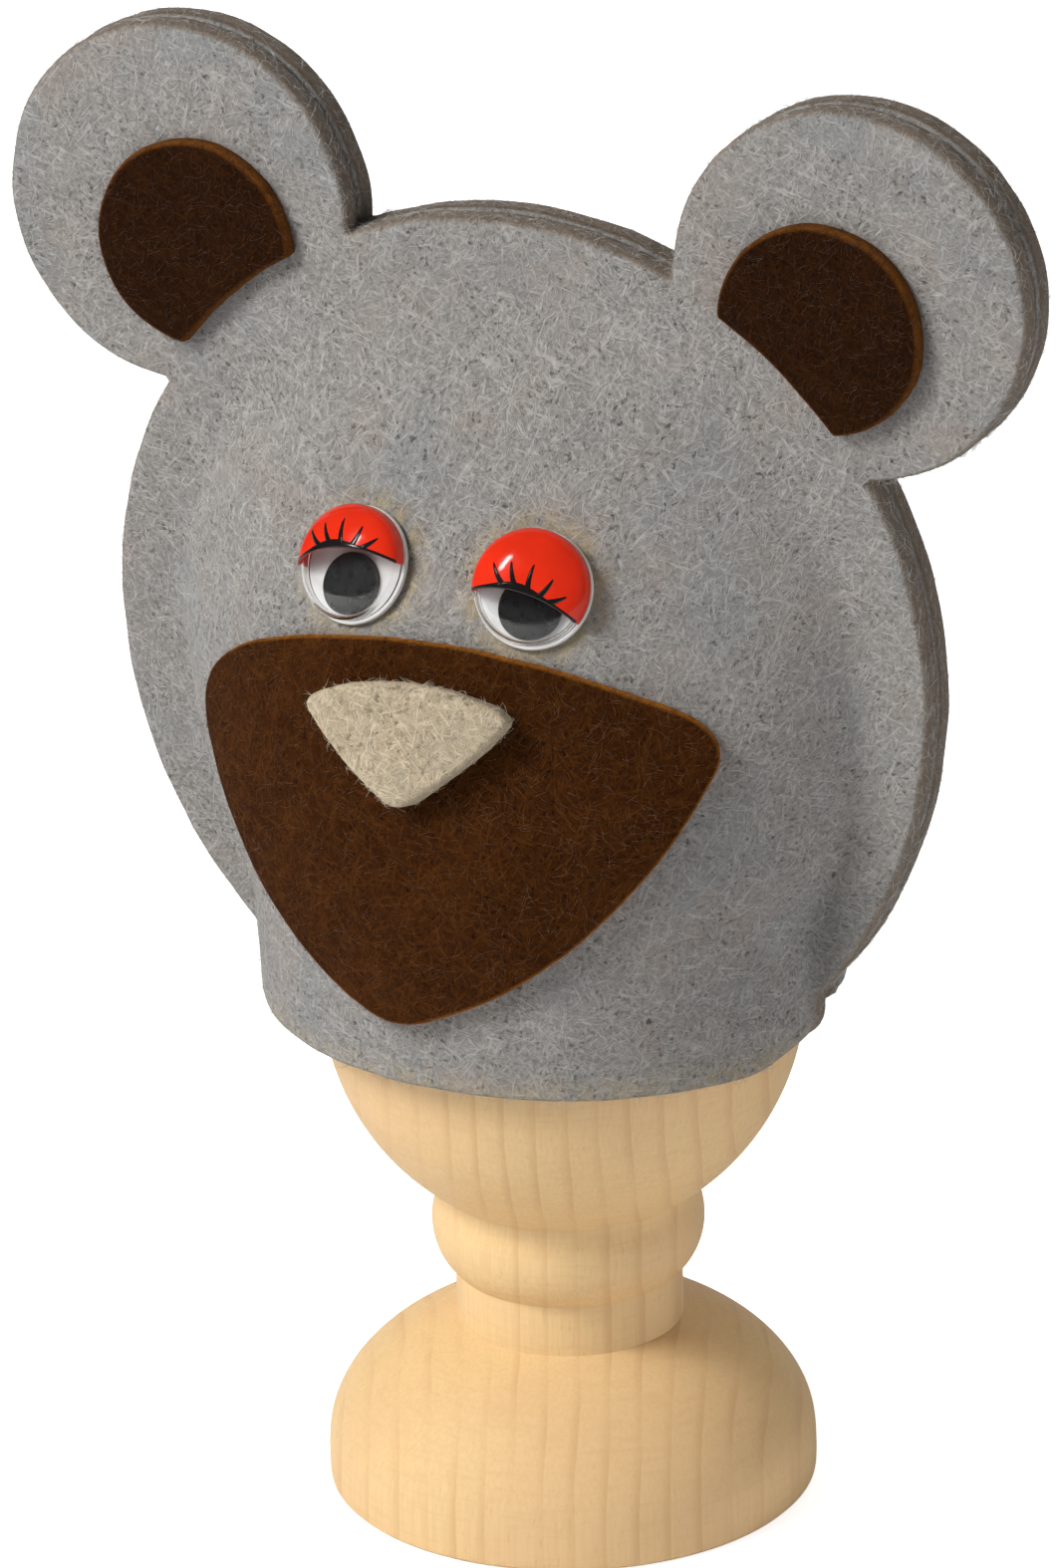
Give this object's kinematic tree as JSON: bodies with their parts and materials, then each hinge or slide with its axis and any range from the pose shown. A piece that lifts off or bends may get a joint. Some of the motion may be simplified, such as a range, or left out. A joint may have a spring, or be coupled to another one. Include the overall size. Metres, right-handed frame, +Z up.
{
  "type": "felt bear egg cosy on an egg cup",
  "caption": "Puppet-like bear head of glued felt panels with wiggle eyes, worn as a cosy over a turned wooden egg cup with a domed foot.",
  "frame": {"origin": "centre of the egg cup's flat underside", "axes": "+Z up along the cup's axis, the bear's face looks along -Y, the bear's picture-left ear is at -X"},
  "size_m": [0.1066, 0.0565, 0.1462],
  "materials": {
    "wood": "pale close-grained turned hardwood, sanded, satin",
    "grey_felt": "thick grey craft felt with pale and dark fibres",
    "brown_felt": "thin dark brown felt with an orange-brown cut edge",
    "beige_felt": "thick beige felt",
    "white_plastic": "white moulded plastic",
    "clear_plastic": "thin clear plastic dome",
    "red_print": "red print under gloss, with a black lash line",
    "black_plastic": "black plastic, satin"
  },
  "bodies": {
    "cup": {"egg_cup": "wood"},
    "cosy": {"front_panel": "grey_felt", "back_panel": "grey_felt", "inner_ear_left": "brown_felt", "inner_ear_right": "brown_felt", "muzzle": "brown_felt", "nose": "beige_felt", "eye_disc_left": "white_plastic", "eye_disc_right": "white_plastic", "eye_dome_left": "clear_plastic", "eye_dome_right": "clear_plastic", "eyelid_left": "red_print", "eyelid_right": "red_print"},
    "pupil_left": {"pupil_left": "black_plastic"},
    "pupil_right": {"pupil_right": "black_plastic"}
  },
  "joints": [
    {"name": "cosy_lift", "type": "slide", "parent": "cup", "child": "cosy", "axis": [0, 0, 1], "range_m": [0, 0.08]},
    {"name": "pupil_left_roll", "type": "hinge", "parent": "cosy", "child": "pupil_left", "pos_m": [-0.01316, -0.01555, 0.09923], "axis": [-0.1864, -0.8754, 0.4459], "continuous": true},
    {"name": "pupil_right_roll", "type": "hinge", "parent": "cosy", "child": "pupil_right", "pos_m": [0.00554, -0.01576, 0.09959], "axis": [0.1487, -0.8777, 0.4556], "continuous": true}
  ]
}
